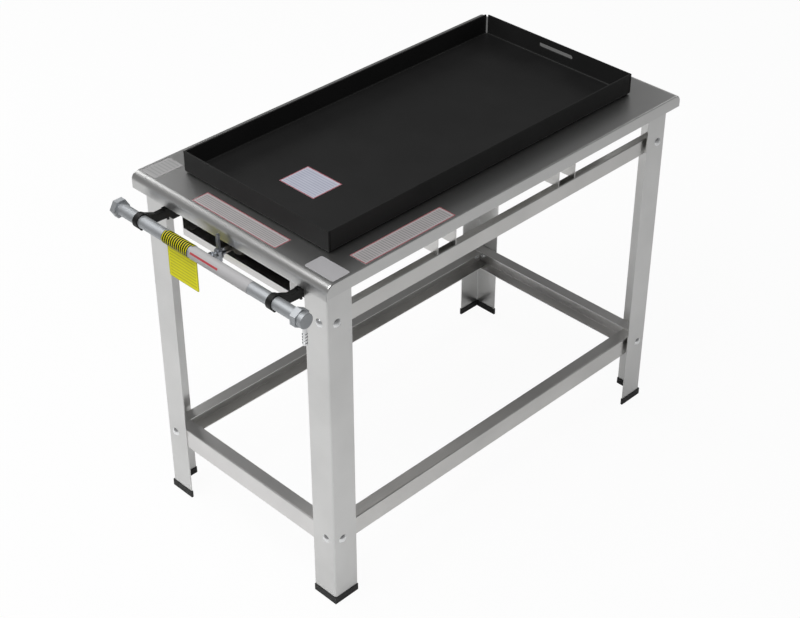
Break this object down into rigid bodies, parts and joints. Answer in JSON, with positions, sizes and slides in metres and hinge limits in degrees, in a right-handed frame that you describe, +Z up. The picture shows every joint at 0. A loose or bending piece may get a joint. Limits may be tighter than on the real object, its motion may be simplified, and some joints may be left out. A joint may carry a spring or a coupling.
{
  "type": "gas flat top griddle",
  "caption": "Gas flat top griddle: a long black steel tray on a stainless table with angle legs, rails, a front gas pipe with a cock and hose barb, and a tube burner in a box below.",
  "frame": {"origin": "on the floor, under the middle of the whole part's bounding box", "axes": "+X to the right of the person cooking, +Y from the gas pipe at the front to the rear, along the long side, +Z up"},
  "size_m": [0.52, 1.0058, 0.786],
  "materials": {
    "frame_steel": "satin stainless sheet, folded",
    "table_steel": "brushed stainless sheet with rolled front and rear edges",
    "sheet_steel": "plain folded sheet",
    "dark_steel": "heat-darkened black sheet",
    "griddle_steel": "black seasoned mild steel, satin",
    "pipe_zinc": "zinc-plated pipe and fittings, satin",
    "zinc_plate": "bright zinc-plated fasteners",
    "valve_chrome": "dull chromed gas cock",
    "injector_brass": "turned brass",
    "burner_steel": "plain steel tube, heat-tinted",
    "clamp_black": "black moulded clamp",
    "foot_plastic": "black moulded foot cap",
    "tag_yellow": "yellow plastic sheet and spiral wrap",
    "label_film": "blank white sticker with a thin red border",
    "plate_steel": "blank satin plate"
  },
  "bodies": {
    "frame": {"leg_front_left": "frame_steel", "foot_cap_front_left": "foot_plastic", "cross_support_front_left": "sheet_steel", "leg_front_right": "frame_steel", "foot_cap_front_right": "foot_plastic", "cross_support_front_right": "sheet_steel", "leg_rear_right": "frame_steel", "foot_cap_rear_right": "foot_plastic", "cross_support_rear_right": "sheet_steel", "leg_rear_left": "frame_steel", "foot_cap_rear_left": "foot_plastic", "cross_support_rear_left": "sheet_steel", "table_top": "table_steel", "lower_rail_front": "frame_steel", "lower_rail_rear": "frame_steel", "lower_rail_left": "frame_steel", "lower_rail_right": "frame_steel", "upper_rail_left": "frame_steel", "upper_rail_right": "frame_steel", "frame_bolts": "zinc_plate", "frame_nuts": "zinc_plate", "rail_spacers": "zinc_plate", "burner_box": "dark_steel", "manifold_pipe": "pipe_zinc", "pipe_end_cap": "pipe_zinc", "outlet_fitting": "pipe_zinc", "hose_barb": "pipe_zinc", "pipe_clamp_left": "clamp_black", "pipe_clamp_right": "clamp_black", "clamp_tab_left": "dark_steel", "clamp_tab_right": "dark_steel", "clamp_screws": "clamp_black", "valve_nipple": "pipe_zinc", "valve_body": "valve_chrome", "gas_injector": "injector_brass", "burner_mixer": "burner_steel", "burner_tube": "burner_steel", "burner_end_disc": "burner_steel", "burner_saddle_front": "dark_steel", "burner_saddle_rear": "dark_steel", "spiral_wrap": "tag_yellow", "tag_rings": "zinc_plate", "front_label": "label_film", "side_label": "label_film", "left_label": "label_film", "pipe_sticker": "label_film", "corner_plate": "plate_steel"},
    "griddle": {"griddle_tray": "griddle_steel", "tray_label": "label_film"},
    "valve_plug": {"valve_plug": "valve_chrome", "valve_key": "valve_chrome", "plug_nut": "valve_chrome"},
    "air_shutter": {"air_shutter": "burner_steel"},
    "tag": {"hanging_tag": "tag_yellow"}
  },
  "joints": [
    {"name": "griddle_lift", "type": "slide", "parent": "frame", "child": "griddle", "axis": [0, 0, 1], "range_m": [0, 0.2]},
    {"name": "gas_valve_turn", "type": "hinge", "parent": "frame", "child": "valve_plug", "pos_m": [0, -0.45462, 0.6945], "axis": [0, 0, 1], "range_deg": [0, 90]},
    {"name": "air_shutter_turn", "type": "hinge", "parent": "frame", "child": "air_shutter", "pos_m": [0, -0.40332, 0.6945], "axis": [0, 1, 0], "range_deg": [0, 45]},
    {"name": "tag_swing", "type": "hinge", "parent": "frame", "child": "tag", "pos_m": [-0.066, -0.48412, 0.67895], "axis": [1, 0, 0], "range_deg": [-45, 45]}
  ]
}
